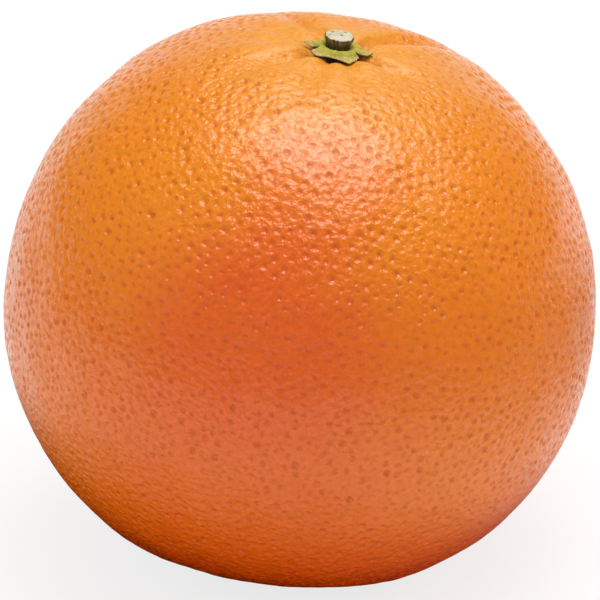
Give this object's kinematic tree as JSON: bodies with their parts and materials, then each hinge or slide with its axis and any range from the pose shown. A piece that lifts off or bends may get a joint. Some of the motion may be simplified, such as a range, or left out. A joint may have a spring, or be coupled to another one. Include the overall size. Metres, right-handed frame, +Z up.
{
  "type": "orange",
  "caption": "Whole ripe orange with pitted peel, pleated stem end, green star calyx and cut stalk stub, resting on a small flat spot",
  "frame": {"origin": "on the resting surface, under the middle of the fruit", "axes": "+Z up out of the resting surface; the stalk axis leans 7.4 degrees from +Z towards +X; -Y is the front"},
  "size_m": [0.0803, 0.0802, 0.0755],
  "materials": {
    "peel": "waxy orange peel, satin, pitted with oil pores",
    "calyx": "dry yellow-green sepal skin with brown edges",
    "stalk": "pale cut wood with brown ribbed bark"
  },
  "bodies": {
    "root": {"fruit": "peel", "calyx": "calyx", "stem": "stalk"}
  },
  "joints": []
}
